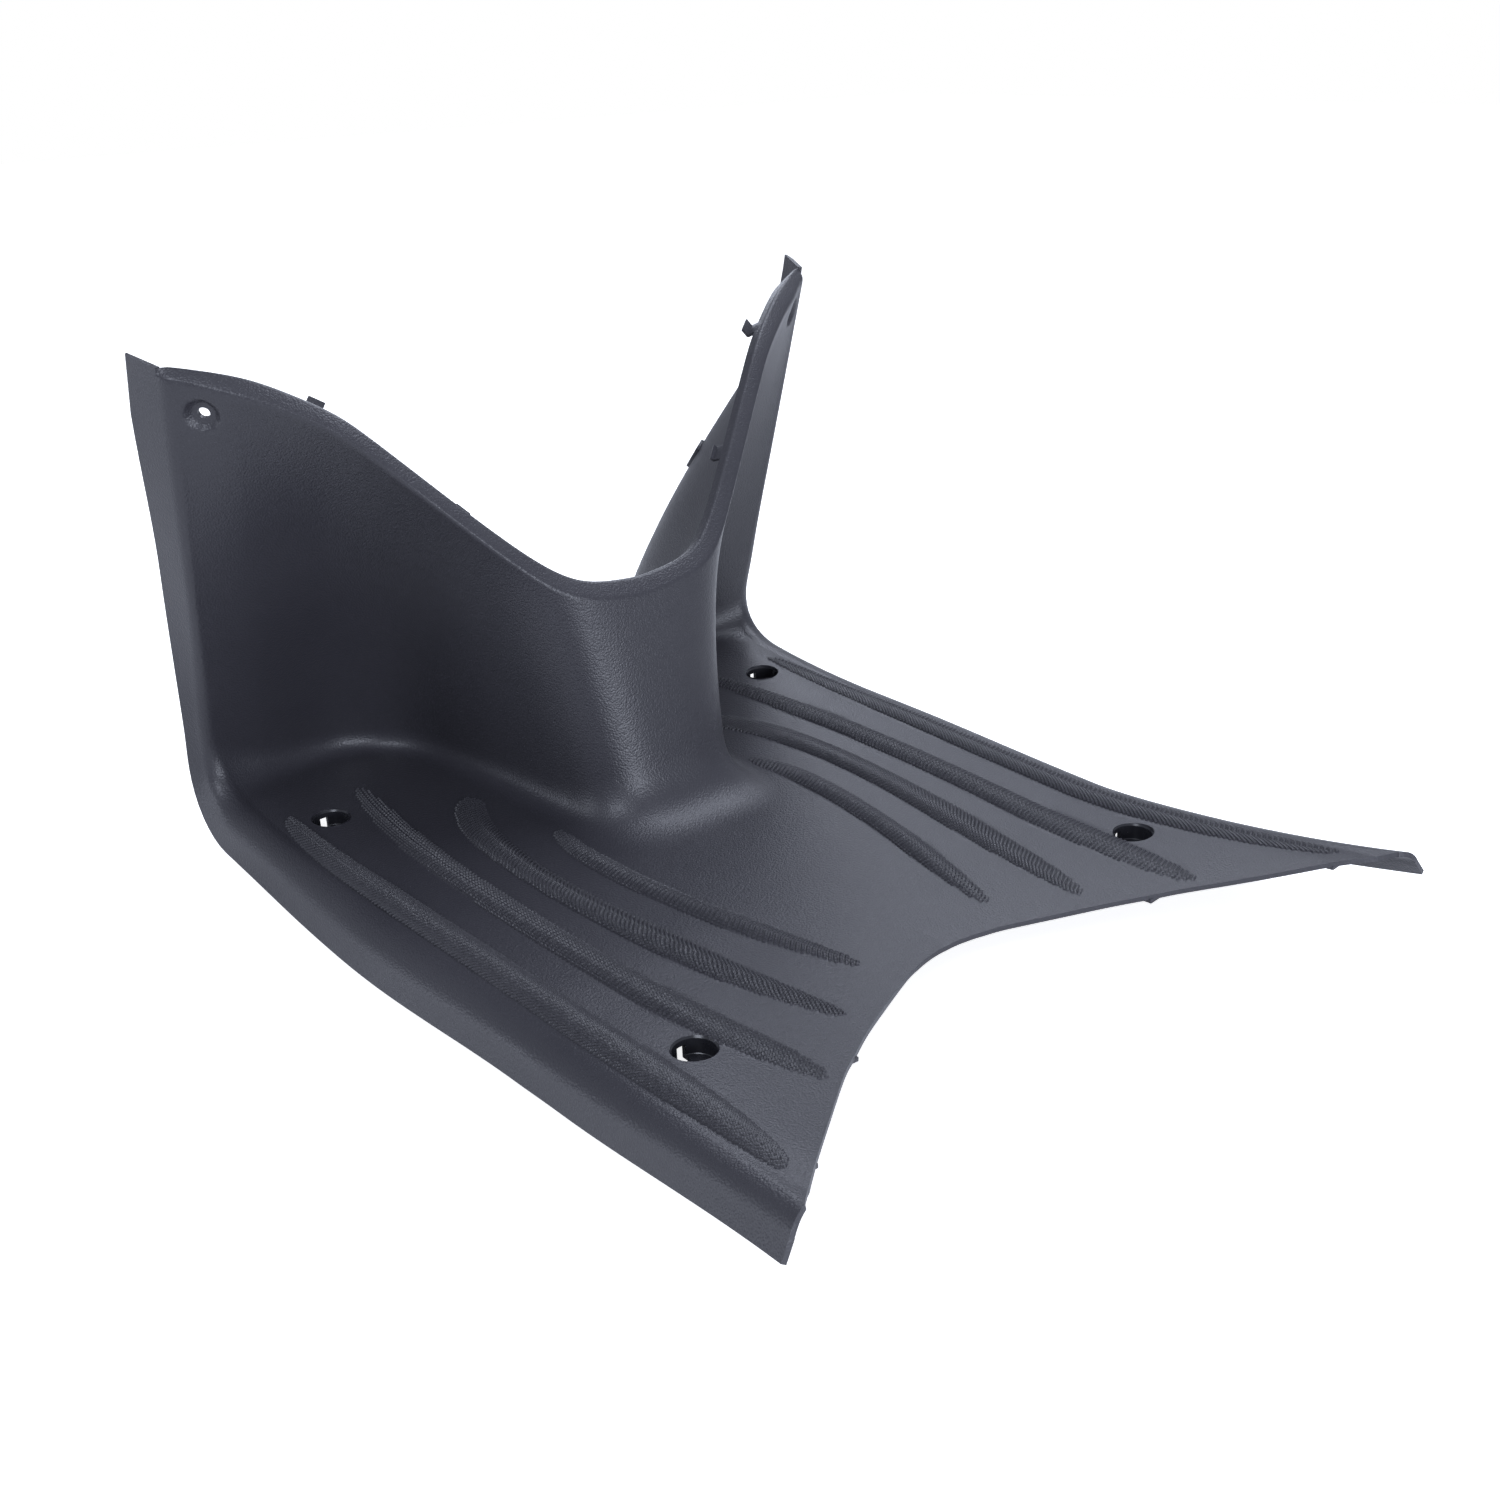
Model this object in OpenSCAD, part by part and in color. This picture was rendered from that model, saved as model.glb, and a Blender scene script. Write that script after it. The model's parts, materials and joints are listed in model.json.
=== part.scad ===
/* [Floor] */
// Half width between the two rear corners
rear_half_w = 196; // [185:1:215]
// Half width of the floor halfway along its sides
waist_half_w = 185.5; // [182:0.5:198]
// Y of the front of the two foot wells, from the middle of the floor screws
well_y = 239; // [232:1:255]
// Length from the front of the foot wells to the rear corners
floor_l = 523.5; // [510:0.5:550]
// Depth of the notch between the rear corners
notch_depth = 120; // [105:1:135]
// How far the rear corners rise above the floor
rear_rise = 22; // [8:1:32]
// Y behind which the floor rises to the rear corners
rise_from_y = -100; // [-130:1:-70]
// How far the floor rises towards the two foot wells
well_rise = 6; // [0:0.5:9]
// How far the middle of the floor dips below its sides
floor_dish = 5; // [0:1:9]
// How far the floor rolls down at its sides
side_roll = 2.2; // [0:0.2:4]
// Thickness of the moulded wall
wall_t = 2.6; // [2:0.1:3.4]

/* [Leg shield] */
// Half width at the foot of the shield
foot_half_w = 194.5; // [190:0.5:206]
// Half width at the top of the shield
top_half_w = 204; // [198:1:218]
// Y of the foot of the shield at its outer edges
foot_y = 227.5; // [216:0.5:235]
// Y of the top of the shield at its outer edges
top_y = 168; // [155:1:180]
// Height of the two upper corners above the floor
top_z = 257; // [230:1:290]
// How far the vaults over the foot wells bow outwards
vault_bow = 16.5; // [8:0.5:30]
// Distance from the side at which the rim's slope eases
rim_ease_from = 69; // [60:1:78]
// Distance from the side at which the rim's slope eases again
corner_ease_from = 33; // [26:1:40]

/* [Column cover] */
// Half width of the cover at its foot
cover_half_w = 51; // [44:1:56]
// Y where the cover's rear face meets the floor
cover_foot_y = 38; // [25:1:50]
// Y of the cover's rim
cover_top_y = 70; // [62:1:82]
// Height of the cover's rim above the floor
cover_top_z = 126; // [110:1:145]
// Rounding of the rim where it leaves the cover
rim_round = 22; // [14:1:28]
// Length of the cover's side walls along the floor
cover_side_l = 107; // [98:1:116]
// How far the side walls spread over that length
cover_spread = 6; // [0:0.5:10]

/* [Rim, side flanges and skirts] */
// Width of the band turned forward along the rim
lip_w = 11.5; // [6:0.5:14]
// Width of the edge behind the band
lip_edge_w = 5.5; // [4:0.5:9]
// Depth of the side flanges at the top of the shield
flange_depth = 26.5; // [18:0.5:34]
// Drop of the side skirts
skirt_drop = 21; // [14:1:24]
// How far the side skirts flare outwards
skirt_flare = 22; // [10:1:25]

/* [Clips and tongues] */
// Length of the rim clips along the rim
clip_l = 9; // [7:0.5:14]
// How far the clips reach forward of the rim
clip_reach = 7; // [5:0.5:10]
// Height of the clips' heads
clip_head = 4.5; // [3:0.25:6]
// Distance from the middle to the first clip
clip_first_x = 88; // [80:1:94]
// Distance from the first to the second clip
clip_pitch = 58; // [50:1:66]
// Length of the pads behind the vaults
pad_l = 19; // [14:0.5:24]
// Width of the tongues under the rear edge
tongue_w = 12; // [8:0.5:16]
// How far the tongues reach behind the rear edge
tongue_reach = 1.5; // [1:0.25:5]
// Distance from the rear corners to the outer tongues
tongue_inset = 27; // [20:1:36]
// Thickness of the clips, pads and tongues
clip_t = 2.2; // [1.6:0.1:3]

/* [Ribs under the floor] */
// Height of the ribs
rib_h = 5.5; // [3:0.5:7]
// Thickness of the ribs
rib_t = 2; // [1.4:0.1:3]
// Y of the first rib
rib_first_y = 5; // [-10:1:12]
// Distance from rib to rib
rib_pitch = 55; // [45:1:60]

/* [Tread ridges] */
// Height of the ridges
ridge_h = 2.6; // [1.2:0.1:3.4]
// Half width of the ridges at their middle
ridge_half_w = 8; // [5:0.5:9]
// Distance from the middle of the floor to the first ridge
ridge_first_x = 73; // [68:1:80]
// Distance from ridge to ridge
ridge_pitch = 33.5; // [30:0.5:35]

/* [Screw cups and bosses] */
// Half the distance between the front floor screws
front_screw_x = 158; // [152:1:162]
// Half the distance between the rear floor screws
rear_screw_x = 147.5; // [142:0.5:152]
// Distance from the front to the rear floor screws
screw_row_gap = 317; // [300:1:330]
// Radius of the screw cups
cup_r = 10; // [8.5:0.25:11]
// Depth of the screw cups
cup_depth = 9; // [6:0.5:12]
// Wall and bottom thickness of the screw cups
cup_t = 2.4; // [1.8:0.1:3]
// Chamfer round the mouth of the screw cups
cup_rim = 0.8; // [0.4:0.1:1.4]
// Width of the window in the bottom of the screw cups
window_w = 8; // [5:0.5:10]
// Radius of the screw holes in the cups
screw_r = 3.25; // [2.5:0.05:4]
// Distance from the shield's side edges to the upper screws
upper_screw_inset = 13; // [12:0.5:16]
// Height of the upper screws above the floor
upper_screw_z = 232.5; // [222:0.5:236]
// Radius of the recesses of the upper screws
upper_cup_r = 9; // [7:0.25:10]
// Depth of the recesses of the upper screws
upper_cup_depth = 3; // [2:0.25:4]
// Radius of the upper screw holes
upper_screw_r = 3; // [2.25:0.05:3.5]

/* [Hidden] */
plastic = [0.2, 0.21, 0.23];
front_screw_y = screw_row_gap / 2;
rear_screw_y = -screw_row_gap / 2;
upper_screw_x = top_half_w - upper_screw_inset;
rear_corner_y = well_y - floor_l;
rear_notch_y = rear_corner_y + notch_depth;
tongue_xs = [rear_half_w / 2, rear_half_w - tongue_inset];
well_rise_start = cover_foot_y + 52;
well_rise_end = well_y - 39;

// Flow lines from the middle (0) to the side (8), one entry each: foot, two leads, rear end, bow and rim
nose_r = 0.55 * cover_half_w;
ridge_x = [for (i = [0:3]) ridge_first_x + i * ridge_pitch];
rear_ends = [for (x = [0, 0.05, 0.11, 0.19, 0.39, 0.505, 0.62, 0.93, 1]) rear_edge(x)];
feet = [
    [0, cover_foot_y],
    [nose_r, cover_foot_y + 3],
    [0.89 * cover_half_w, cover_foot_y + 18],
    [cover_half_w, cover_foot_y + 44],
    [cover_half_w + cover_spread, cover_foot_y + cover_side_l],
    [cover_half_w + 19, well_y - 24],
    [cover_half_w + 57, well_y],
    [foot_half_w - 27, well_y - 9],
    [foot_half_w, foot_y]
];
first_leads = [[0, -30], [34, -8], [68, 30], [96, 60], [128, 118], [146, 150], [156, 160], [200, 100],
    [waist_half_w + 2.5, 41]];
middles = [0, 26, 54, ridge_x[0], ridge_x[1], (ridge_x[1] + ridge_x[2]) / 2, ridge_x[2], ridge_x[3], waist_half_w];
lead_ys = [-97, -90, -75, -60, -20, -40, -70, -120, -120];
second_leads = [for (i = [0:8])
    [(8 * middles[i] - feet[i][0] - 3 * first_leads[i][0] - rear_ends[i][0]) / 3, lead_ys[i]]];
rim_xs = [0, nose_r - 2, cover_half_w - 6, cover_half_w + 10, cover_half_w + 33, cover_half_w + 60,
    top_half_w - 64, top_half_w - 28, top_half_w];
rims = [for (x = rim_xs) rim_at(x)];
bow_shares = [0, 0, 0, 0.2, 0.7, 1, 1, 0.45, 0];
side_bow = [3, -3.5, 0];
bows = [for (i = [0:8])
    let (low = concat(feet[i], 0), share = bow_shares[i] * vault_bow)
    mix(low, rims[i], 0.5) + share * [-0.25, 1, 0.9] + (i == 8 ? side_bow : [0, 0, 0])];
fillets = [30, 30, 26, 20, 17, 16, 16, 22, 36.5];

function last(list) = list[len(list) - 1];
function mix(a, b, s) = a + (b - a) * s;
function unit(v) = v / max(norm(v), 0.000001);
function ease(s) = let (c = min(1, max(0, s))) c * c * (3 - 2 * c);
function quad(a, b, c, s) = mix(mix(a, b, s), mix(b, c, s), s);

// Value at station u of a smooth curve through a list that mirrors about its first entry
function mirrored(p) = is_num(p) ? p : [for (i = [0:len(p) - 1]) i == 0 ? -p[i] : p[i]];
function through(list, u) =
    let (last = len(list) - 1, i = min(max(floor(u), 0), last - 1), s = u - i)
    let (b = list[i], c = list[i + 1])
    let (a = i == 0 ? mirrored(c) : list[i - 1], d = i + 2 > last ? 2 * c - b : list[i + 2])
    0.5 * (2 * b + (c - a) * s + (2 * a - 5 * b + 4 * c - d) * s * s + (3 * b - a - 3 * c + d) * s * s * s);

// Rim of the leg shield at a distance from the middle: level over the column cover, then a slope to each side
function hinge(x, from, round) = (sqrt((x - from) * (x - from) + round * round) + x - from) / 2;
function rim_y_run(x) = hinge(x, cover_half_w - 8, 12);
function rim_z_run(x) =
    hinge(x, cover_half_w - 6, rim_round) - 0.45 * hinge(x, top_half_w - rim_ease_from, 8)
        - 0.4 * hinge(x, top_half_w - corner_ease_from, 15);
function rim_at(x) = [x,
    mix(cover_top_y, top_y, (rim_y_run(x) - rim_y_run(0)) / (rim_y_run(top_half_w) - rim_y_run(0))),
    mix(cover_top_z, top_z, (rim_z_run(x) - rim_z_run(0)) / (rim_z_run(top_half_w) - rim_z_run(0)))];

// Direction along the rim, level direction ahead of it, share of the band's width left, and the band's front edge
function rim_along(x) = rim_at(x + 1) - rim_at(x - 1);
function rim_ahead(x) = let (along = rim_along(x)) unit([-along[1], along[0], 0]);
function rim_fade(x) = 1 - 0.75 * ease((x - top_half_w + 30) / 30);
function edge_way(x) = 0.85 * rim_ahead(x) - [0, 0, 0.5];
function rim_edge(x) = rim_at(x) + rim_fade(x) * lip_edge_w * edge_way(x);

// Rear edge at a share of the half width: straight-sided notch, rounded in the middle
function rear_edge(share) =
    let (round = 0.12, run = sqrt(share * share + round * round) - round)
    let (full = sqrt(1 + round * round) - round, s = run / full)
    [share * rear_half_w, mix(rear_notch_y, rear_corner_y, 0.62 * s + 0.38 * s * s)];

// Height of the floor's plain surface: dished, rolled down at its sides, raised at the rear and foot corners
function floor_z(p) =
    let (across = min(1.1, abs(p[0]) / waist_half_w), roll = min(1, max(0, across - 0.88) / 0.12))
    let (back = max(0, (rise_from_y - p[1]) / (rise_from_y - rear_corner_y)))
    let (ahead = max(0, (p[1] - well_rise_start) / (well_rise_end - well_rise_start)))
    -floor_dish * (1 - across * across) - side_roll * roll * roll
        + rear_rise * pow(back, 1.4) * pow(across, 0.9) + well_rise * ahead * ahead * across * across;

// Plan of a flow line: 0 at the shield's foot, 1 at the rear edge
function plan(u, t) =
    let (a = through(feet, u), b = through(first_leads, u))
    let (c = through(second_leads, u), d = through(rear_ends, u))
    mix(quad(a, b, c, t), quad(b, c, d, t), t);

// Ridges: distance from the middle at mid-length, start and end along the flow lines
ridge_ends = [[0.16, 0.935], [0.13, 0.975], [0.175, 0.985], [0.135, 0.965]];
ridges = [for (i = [0:3]) concat(ridge_x[i], ridge_ends[i])];
function station(x) = lookup(x, [for (i = [0:8]) [middles[i], i]]);
function mid_x(u) = lookup(u, [for (i = [0:8]) [i, middles[i]]]);
function ridge_size(ridge, t) =
    let (s = (t - ridge[1]) / (ridge[2] - ridge[1]))
    s <= 0 || s >= 1 ? 0 : pow(min(1, s / 0.3), 0.7) * pow(min(1, (1 - s) / 0.25), 0.7);
function ridge_height(u, t) = max([for (ridge = ridges)
    let (size = ridge_size(ridge, t), share = abs(mid_x(u) - ridge[0]) / ridge_half_w)
    share >= size ? 0 : ridge_h * pow(size, 0.6) * (1 - share * share / (size * size))]);

function floor_point(u, t) = let (p = plan(u, t)) [p[0], p[1], floor_z(p) + ridge_height(u, t)];
function fillet_share(u) = through(fillets, u) / (3 * norm(through(first_leads, u) - through(feet, u)));

// Rows from the rear edge to the rim: zone and place in it
floor_rows = 24;
rows = concat(
    [for (i = [0:floor_rows]) [0, i / floor_rows]],
    [for (i = [1:4]) [1, i / 4]],
    [for (i = [1:7]) [2, i / 7]],
    [for (i = [1:4]) [3, i / 5]]
);

wall_end = floor_rows + 11;

function base(u, row) =
    let (f = through(fillets, u), foot = through(feet, u), start = fillet_share(u))
    row[0] == 0 ? floor_point(u, mix(1, start, row[1])) :
    let (x = through(rims, u)[0], tip = rim_at(x), edge = rim_edge(x))
    let (rim = tip - rim_fade(x) * lip_w * (0.66 * rim_ahead(x) + [0, 0, 0.75]))
    let (low = floor_point(u, start), corner = concat(foot, floor_z(foot)))
    let (bow = through(bows, u), high = corner + f * unit(bow - corner))
    row[0] == 1 ? quad(low, corner, high, row[1]) :
    row[0] == 2 ? quad(high, bow, rim, row[1] * 0.99) :
    row[1] < 0.3 ? mix(rim, tip, 0.12) :
    row[1] < 0.5 ? mix(rim, tip, 0.85) :
    row[1] < 0.7 ? mix(tip, edge, 0.2) : edge;

// Skirt and side flange: how far out and how deep, from the rear end to the top
flares = [0.63, 0.69, 1, 0.64, 0.41, 0.21, 0.4] * skirt_flare;
depths = concat([0.72, 0.9, 0.98, 1.03, 0.58] * skirt_drop, [1, 1] * flange_depth);
function side_station(row) =
    row[0] == 0 ? 3 * row[1] : row[0] == 1 ? 3 + row[1] : row[0] == 2 ? 4 + 2 * row[1] : 6;
function plain_through(list, u) =
    let (last = len(list) - 1, i = min(floor(u), last - 1)) mix(list[i], list[i + 1], ease(u - i));
function side_point(i, w) =
    let (row = rows[i], s = side_station(row), edge = base(8, row), inner = base(7.6, row))
    let (k = min(i, wall_end), before = base(8, rows[max(0, k - 1)]))
    let (after = base(8, rows[min(wall_end, k + 1)]))
    let (way = unit([0, after[1] - before[1], after[2] - before[2]]), down = [0, way[2], -way[1]])
    let (tip = edge + plain_through(flares, s) * [1, 0, 0] + plain_through(depths, s) * down)
    let (turn = plain_through([12, 12, 12, 10, 6, 5, 5], s))
    let (a = edge - 4 * unit(edge - inner), b = edge + turn * unit(tip - edge))
    w <= 1 ? quad(a, edge, b, w) : mix(b, tip, w - 1);

// Columns from the middle to the skirt's edge: flow line and place on the skirt
columns = concat(
    [for (u = [0, 0.7, 1.35, 1.9, 2.3]) [u, -1]],
    [for (x = ridge_x, k = [-1, -0.5, 0, 0.5, 1, 2]) if (x < last(ridge_x) || k < 2)
        [station(x + k * (k < 2 ? ridge_half_w : ridge_pitch / 4)), -1]],
    [for (w = [0, 0.5, 1, 2]) [8, w]]
);
last_col = len(columns) - 1;
last_row = len(rows) - 1;
half_grid = [for (c = columns) [for (i = [0:last_row]) c[1] < 0 ? base(c[0], rows[i]) : side_point(i, c[1])]];
grid = concat(
    [for (j = [last_col:-1:1]) [for (p = half_grid[j]) mirrored(p)]],
    half_grid
);
across_n = len(grid) - 1;

// The underside lies one wall thickness along the surface's own normal
function grid_normal(j, i) =
    let (a = grid[max(0, j - 1)][i], b = grid[min(across_n, j + 1)][i])
    let (c = grid[j][max(0, i - 1)], d = grid[j][min(last_row, i + 1)])
    unit(cross(b - a, d - c));
underside = [for (j = [0:across_n]) [for (i = [0:last_row]) grid[j][i] - wall_t * grid_normal(j, i)]];
skin_points = concat([for (col = grid) each col], [for (col = underside) each col]);
row_n = last_row + 1;
skin_n = (across_n + 1) * row_n;
function at(j, i) = j * row_n + i;
function quad_faces(a, b, c, d) = [[a, b, c], [a, c, d]];
skin_faces = concat(
    [for (j = [0:across_n - 1], i = [0:last_row - 1])
        each quad_faces(at(j, i), at(j, i + 1), at(j + 1, i + 1), at(j + 1, i))],
    [for (j = [0:across_n - 1], i = [0:last_row - 1]) let (s = skin_n)
        each quad_faces(s + at(j, i), s + at(j + 1, i), s + at(j + 1, i + 1), s + at(j, i + 1))],
    [for (j = [0:across_n - 1]) let (s = skin_n)
        each quad_faces(at(j, 0), at(j + 1, 0), s + at(j + 1, 0), s + at(j, 0))],
    [for (j = [0:across_n - 1]) let (s = skin_n)
        each quad_faces(at(j, last_row), s + at(j, last_row), s + at(j + 1, last_row), at(j + 1, last_row))],
    [for (i = [0:last_row - 1]) let (s = skin_n)
        each quad_faces(at(0, i), s + at(0, i), s + at(0, i + 1), at(0, i + 1))],
    [for (i = [0:last_row - 1]) let (s = skin_n, j = across_n)
        each quad_faces(at(j, i), at(j, i + 1), s + at(j, i + 1), s + at(j, i))]
);

module skin() {
    polyhedron(points = skin_points, faces = skin_faces, convexity = 6);
}

module both_sides() {
    children();
    mirror([1, 0, 0]) children();
}

// Floor screws: place of the cup's mouth on the plain floor
front_screw = [front_screw_x, front_screw_y, floor_z([front_screw_x, front_screw_y])];
rear_screw = [rear_screw_x, rear_screw_y, floor_z([rear_screw_x, rear_screw_y])];

module cup_body() {
    translate([0, 0, -cup_depth - cup_t])
        cylinder(h = cup_depth + cup_t - wall_t / 2, r = cup_r + cup_t, $fn = 64);
}

module cup_hollow() {
    translate([0, 0, -cup_depth])
        cylinder(h = cup_depth + 2 * cup_rim, r = cup_r, $fn = 64);
    translate([0, 0, -cup_rim])
        cylinder(h = 2 * cup_rim, r1 = cup_r, r2 = cup_r + 2 * cup_rim, $fn = 64);
    translate([0, 0, -cup_depth - 2 * cup_t])
        cylinder(h = cup_depth, r = screw_r, $fn = 48);
    translate([-window_w / 2, screw_r + cup_t, -cup_depth - 2 * cup_t])
        cube([window_w, cup_r - screw_r - cup_t, cup_depth]);
}

// Axes that lie on a surface at a point: along the first way, ahead towards the second, up square to both
module on_surface(point, along, ahead) {
    a = unit(along);
    up = unit(cross(a, ahead));
    b = cross(up, a);
    multmatrix([for (i = [0:2]) [a[i], b[i], up[i], point[i]]])
        children();
}

// Upper screws: place on the leg shield's rear face, with the ways across and up it
function wall_row(u, z, low = 0, high = 1, n = 14) =
    let (row = (low + high) / 2)
    n == 0 ? row :
    base(u, [2, row])[2] < z ? wall_row(u, z, row, high, n - 1) : wall_row(u, z, low, row, n - 1);
function wall_u(x, z, low = 6, high = 8, n = 14) =
    let (u = (low + high) / 2)
    n == 0 ? u :
    base(u, [2, wall_row(u, z)])[0] < x ? wall_u(x, z, u, high, n - 1) : wall_u(x, z, low, u, n - 1);
upper_u = wall_u(upper_screw_x, upper_screw_z);
upper_row = wall_row(upper_u, upper_screw_z);
upper_screw = base(upper_u, [2, upper_row]);
upper_across = base(upper_u + 0.1, [2, upper_row]) - base(upper_u - 0.1, [2, upper_row]);
upper_upward = base(upper_u, [2, upper_row + 0.03]) - base(upper_u, [2, upper_row - 0.03]);

module recess_body() {
    translate([0, 0, -upper_cup_depth - wall_t])
        cylinder(h = upper_cup_depth + wall_t / 2, r = upper_cup_r + wall_t, $fn = 64);
}

// Cone-shaped recess with a screw hole in its bottom
module recess_hollow() {
    bottom_r = 0.66 * upper_cup_r;
    translate([0, 0, -upper_cup_depth])
        cylinder(h = 2 * upper_cup_depth, r1 = bottom_r, r2 = 2 * upper_cup_r - bottom_r, $fn = 64);
    translate([0, 0, -upper_cup_depth - 2 * wall_t])
        cylinder(h = upper_cup_depth + wall_t, r = upper_screw_r, $fn = 48);
}

// Clip on the front edge of the rim: a stem with an upturned, chamfered head
module rim_clip(x) {
    profile = [[-3, 0], [clip_reach - 1, 0], [clip_reach, 1], [clip_reach, clip_head - clip_t / 2],
        [clip_reach - clip_t, clip_head], [clip_reach - clip_t, clip_t], [-3, clip_t]];
    on_surface(rim_edge(x), rim_along(x), edge_way(x))
        translate([-clip_l / 2, 0, -clip_t])
            rotate([90, 0, 90])
                linear_extrude(clip_l)
                    polygon(profile);
}

// Pad on the convex side of a foot well's vault
pad_u = 5.75;
pad_row = 0.67;
module vault_pad() {
    across = base(pad_u + 0.1, [2, pad_row]) - base(pad_u - 0.1, [2, pad_row]);
    upward = base(pad_u, [2, pad_row + 0.05]) - base(pad_u, [2, pad_row - 0.05]);
    on_surface(base(pad_u, [2, pad_row]), across, upward)
        translate([-clip_l / 2, -pad_l / 2, -wall_t - 0.8 * clip_t])
            cube([clip_l, pad_l, 1.3 * clip_t]);
}

// Tongue under the rear edge, its inner corner at a distance from the middle
module tongue(x) {
    y = rear_edge(x / rear_half_w)[1];
    point = function (x, y) [x, y, floor_z([x, y])];
    on_surface(point(x, y), point(x + 1, y) - point(x, y), point(x, y + 1) - point(x, y))
        translate([0, -tongue_reach, -wall_t - 0.75 * clip_t])
            cube([tongue_w, tongue_reach + tongue_w, clip_t]);
}

// Rib across the floor's underside: its top follows the floor, its bottom is level and slopes up at both ends
module rib(y) {
    half = ridge_x[1] + ridge_pitch / 2;
    low = floor_z([0, y]) - wall_t - rib_h;
    xs = [for (i = [-8:8]) i / 8 * half];
    translate([0, y + rib_t / 2, 0])
        rotate([90, 0, 0])
            linear_extrude(rib_t)
                polygon(concat([for (x = xs) [x, floor_z([x, y]) - wall_t / 2]],
                    [[half - rib_h, low], [rib_h - half, low]]));
}

// Middle of the shell's length and its lowest point, which the origin lies on
length_ys = [for (p = skin_points) p[1]];
mid_y = (min(length_ys) + max(length_ys)) / 2;
low_z = min([for (p = skin_points) p[2]]);

module floorboard() {
    color(plastic)
        translate([0, -mid_y, -low_z])
            difference() {
                union() {
                    skin();
                    both_sides() {
                        translate(front_screw) cup_body();
                        translate(rear_screw) cup_body();
                        on_surface(upper_screw, upper_across, upper_upward) recess_body();
                        rim_clip(clip_first_x);
                        rim_clip(clip_first_x + clip_pitch);
                        vault_pad();
                        for (x = tongue_xs) tongue(x);
                    }
                    for (i = [0:2]) rib(rib_first_y - i * rib_pitch);
                }
                both_sides() {
                    translate(front_screw) cup_hollow();
                    translate(rear_screw) cup_hollow();
                    on_surface(upper_screw, upper_across, upper_upward) recess_hollow();
                }
            }
}

floorboard();
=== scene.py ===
# Scooter floorboard in grained black plastic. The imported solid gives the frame; the shell is lofted again
# at a fine pitch from the same flow lines, then gets its screw cups, tread knurl, clips and finish.
import json
import math

import bmesh
import bpy
import numpy as np
from mathutils import Matrix, Vector


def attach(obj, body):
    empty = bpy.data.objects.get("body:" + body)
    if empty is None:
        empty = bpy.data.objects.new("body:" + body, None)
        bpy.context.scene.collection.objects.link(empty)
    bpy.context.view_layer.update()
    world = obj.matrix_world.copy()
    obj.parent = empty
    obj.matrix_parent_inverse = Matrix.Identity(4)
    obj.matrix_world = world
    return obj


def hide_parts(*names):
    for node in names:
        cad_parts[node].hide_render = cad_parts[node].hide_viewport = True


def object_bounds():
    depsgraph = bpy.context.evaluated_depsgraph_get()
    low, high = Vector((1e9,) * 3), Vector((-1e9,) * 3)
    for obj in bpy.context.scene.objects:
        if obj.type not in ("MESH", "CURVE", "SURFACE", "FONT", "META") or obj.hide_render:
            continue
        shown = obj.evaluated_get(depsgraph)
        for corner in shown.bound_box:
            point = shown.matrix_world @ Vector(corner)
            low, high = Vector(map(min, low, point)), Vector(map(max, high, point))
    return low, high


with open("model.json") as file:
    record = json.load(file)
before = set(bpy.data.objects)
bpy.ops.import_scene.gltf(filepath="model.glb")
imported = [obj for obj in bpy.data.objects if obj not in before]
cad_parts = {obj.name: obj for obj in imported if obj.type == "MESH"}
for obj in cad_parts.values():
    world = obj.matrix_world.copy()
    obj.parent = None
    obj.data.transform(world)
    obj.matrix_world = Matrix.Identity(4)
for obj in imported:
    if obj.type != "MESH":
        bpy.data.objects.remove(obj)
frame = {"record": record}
solidLow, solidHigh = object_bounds()
mounts = {m["name"]: m for m in frame["record"]["mounts"]}
print("frame loaded")

mm = 0.001

# Sizes in millimetres, from the middle of the four floor screws
shell = {
    "wall": 2.6, "rearHalfW": 196, "waistHalfW": 185.5, "rearCornerY": -284.5, "rearNotchY": -164.5,
    "rearRise": 22, "riseFromY": -100, "wellRise": 6, "wellRiseAhead": 52, "wellRiseShort": 39,
    "floorDish": 5, "sideRoll": 2.2, "rollFrom": 0.88,
    "footHalfW": 194.5, "topHalfW": 204, "footY": 227.5, "topY": 168, "topZ": 257,
    "wellY": 239, "vaultBow": 16.5, "rimEaseFrom": 69, "cornerEaseFrom": 33, "rimRound": 22,
    "coverHalfW": 51, "coverFootY": 38, "coverTopY": 70, "coverTopZ": 126,
    "coverSideL": 107, "coverSpread": 6, "lipW": 11.5, "lipEdgeW": 5.5, "lipFade": 30,
}
# Shares of the rim's width where the flat of its band starts and ends, and of the edge where that starts
band = {"wallEnd": 0.985, "flatFrom": 0.18, "flatTo": 0.82, "edgeFrom": 0.35}
# Skirt and flange, at seven stations: four along the floor, the foot of the wall, its middle and its top
skirt = {
    "flare": 22, "flareShares": (0.63, 0.69, 1, 0.64, 0.41, 0.21, 0.4),
    "drop": 21, "dropShares": (0.72, 0.9, 0.98, 1.03, 0.58), "flangeDepth": 26.5,
    "turns": (12, 12, 12, 10, 6, 5, 5), "rolls": (0.65, 1, 1, 1, 0.4, 0, 0), "inset": 4,
}
tread = {"height": 2.6, "halfW": 8, "firstX": 73, "pitch": 33.5,
         "ends": [(0.16, 0.935), (0.13, 0.975), (0.175, 0.985), (0.135, 0.965)]}
cup = {"radius": 10, "depth": 9, "wall": 2.4, "rim": 0.8, "round": 0.3, "collar": 2.6, "screwR": 3.25,
       "windowW": 4.6, "windowTop": 0.42}
recess = {"mouthR": 9.3, "bottomR": 5.6, "depth": 3, "screwR": 3, "drillL": (-10, 4)}
clip = {"length": 9, "reach": 7, "root": 3, "heads": (4.5, 7.5), "thick": 2.2, "xs": (88, 146)}
pad = {"length": 19, "width": 9, "u": 5.75, "row": 0.67}
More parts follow.
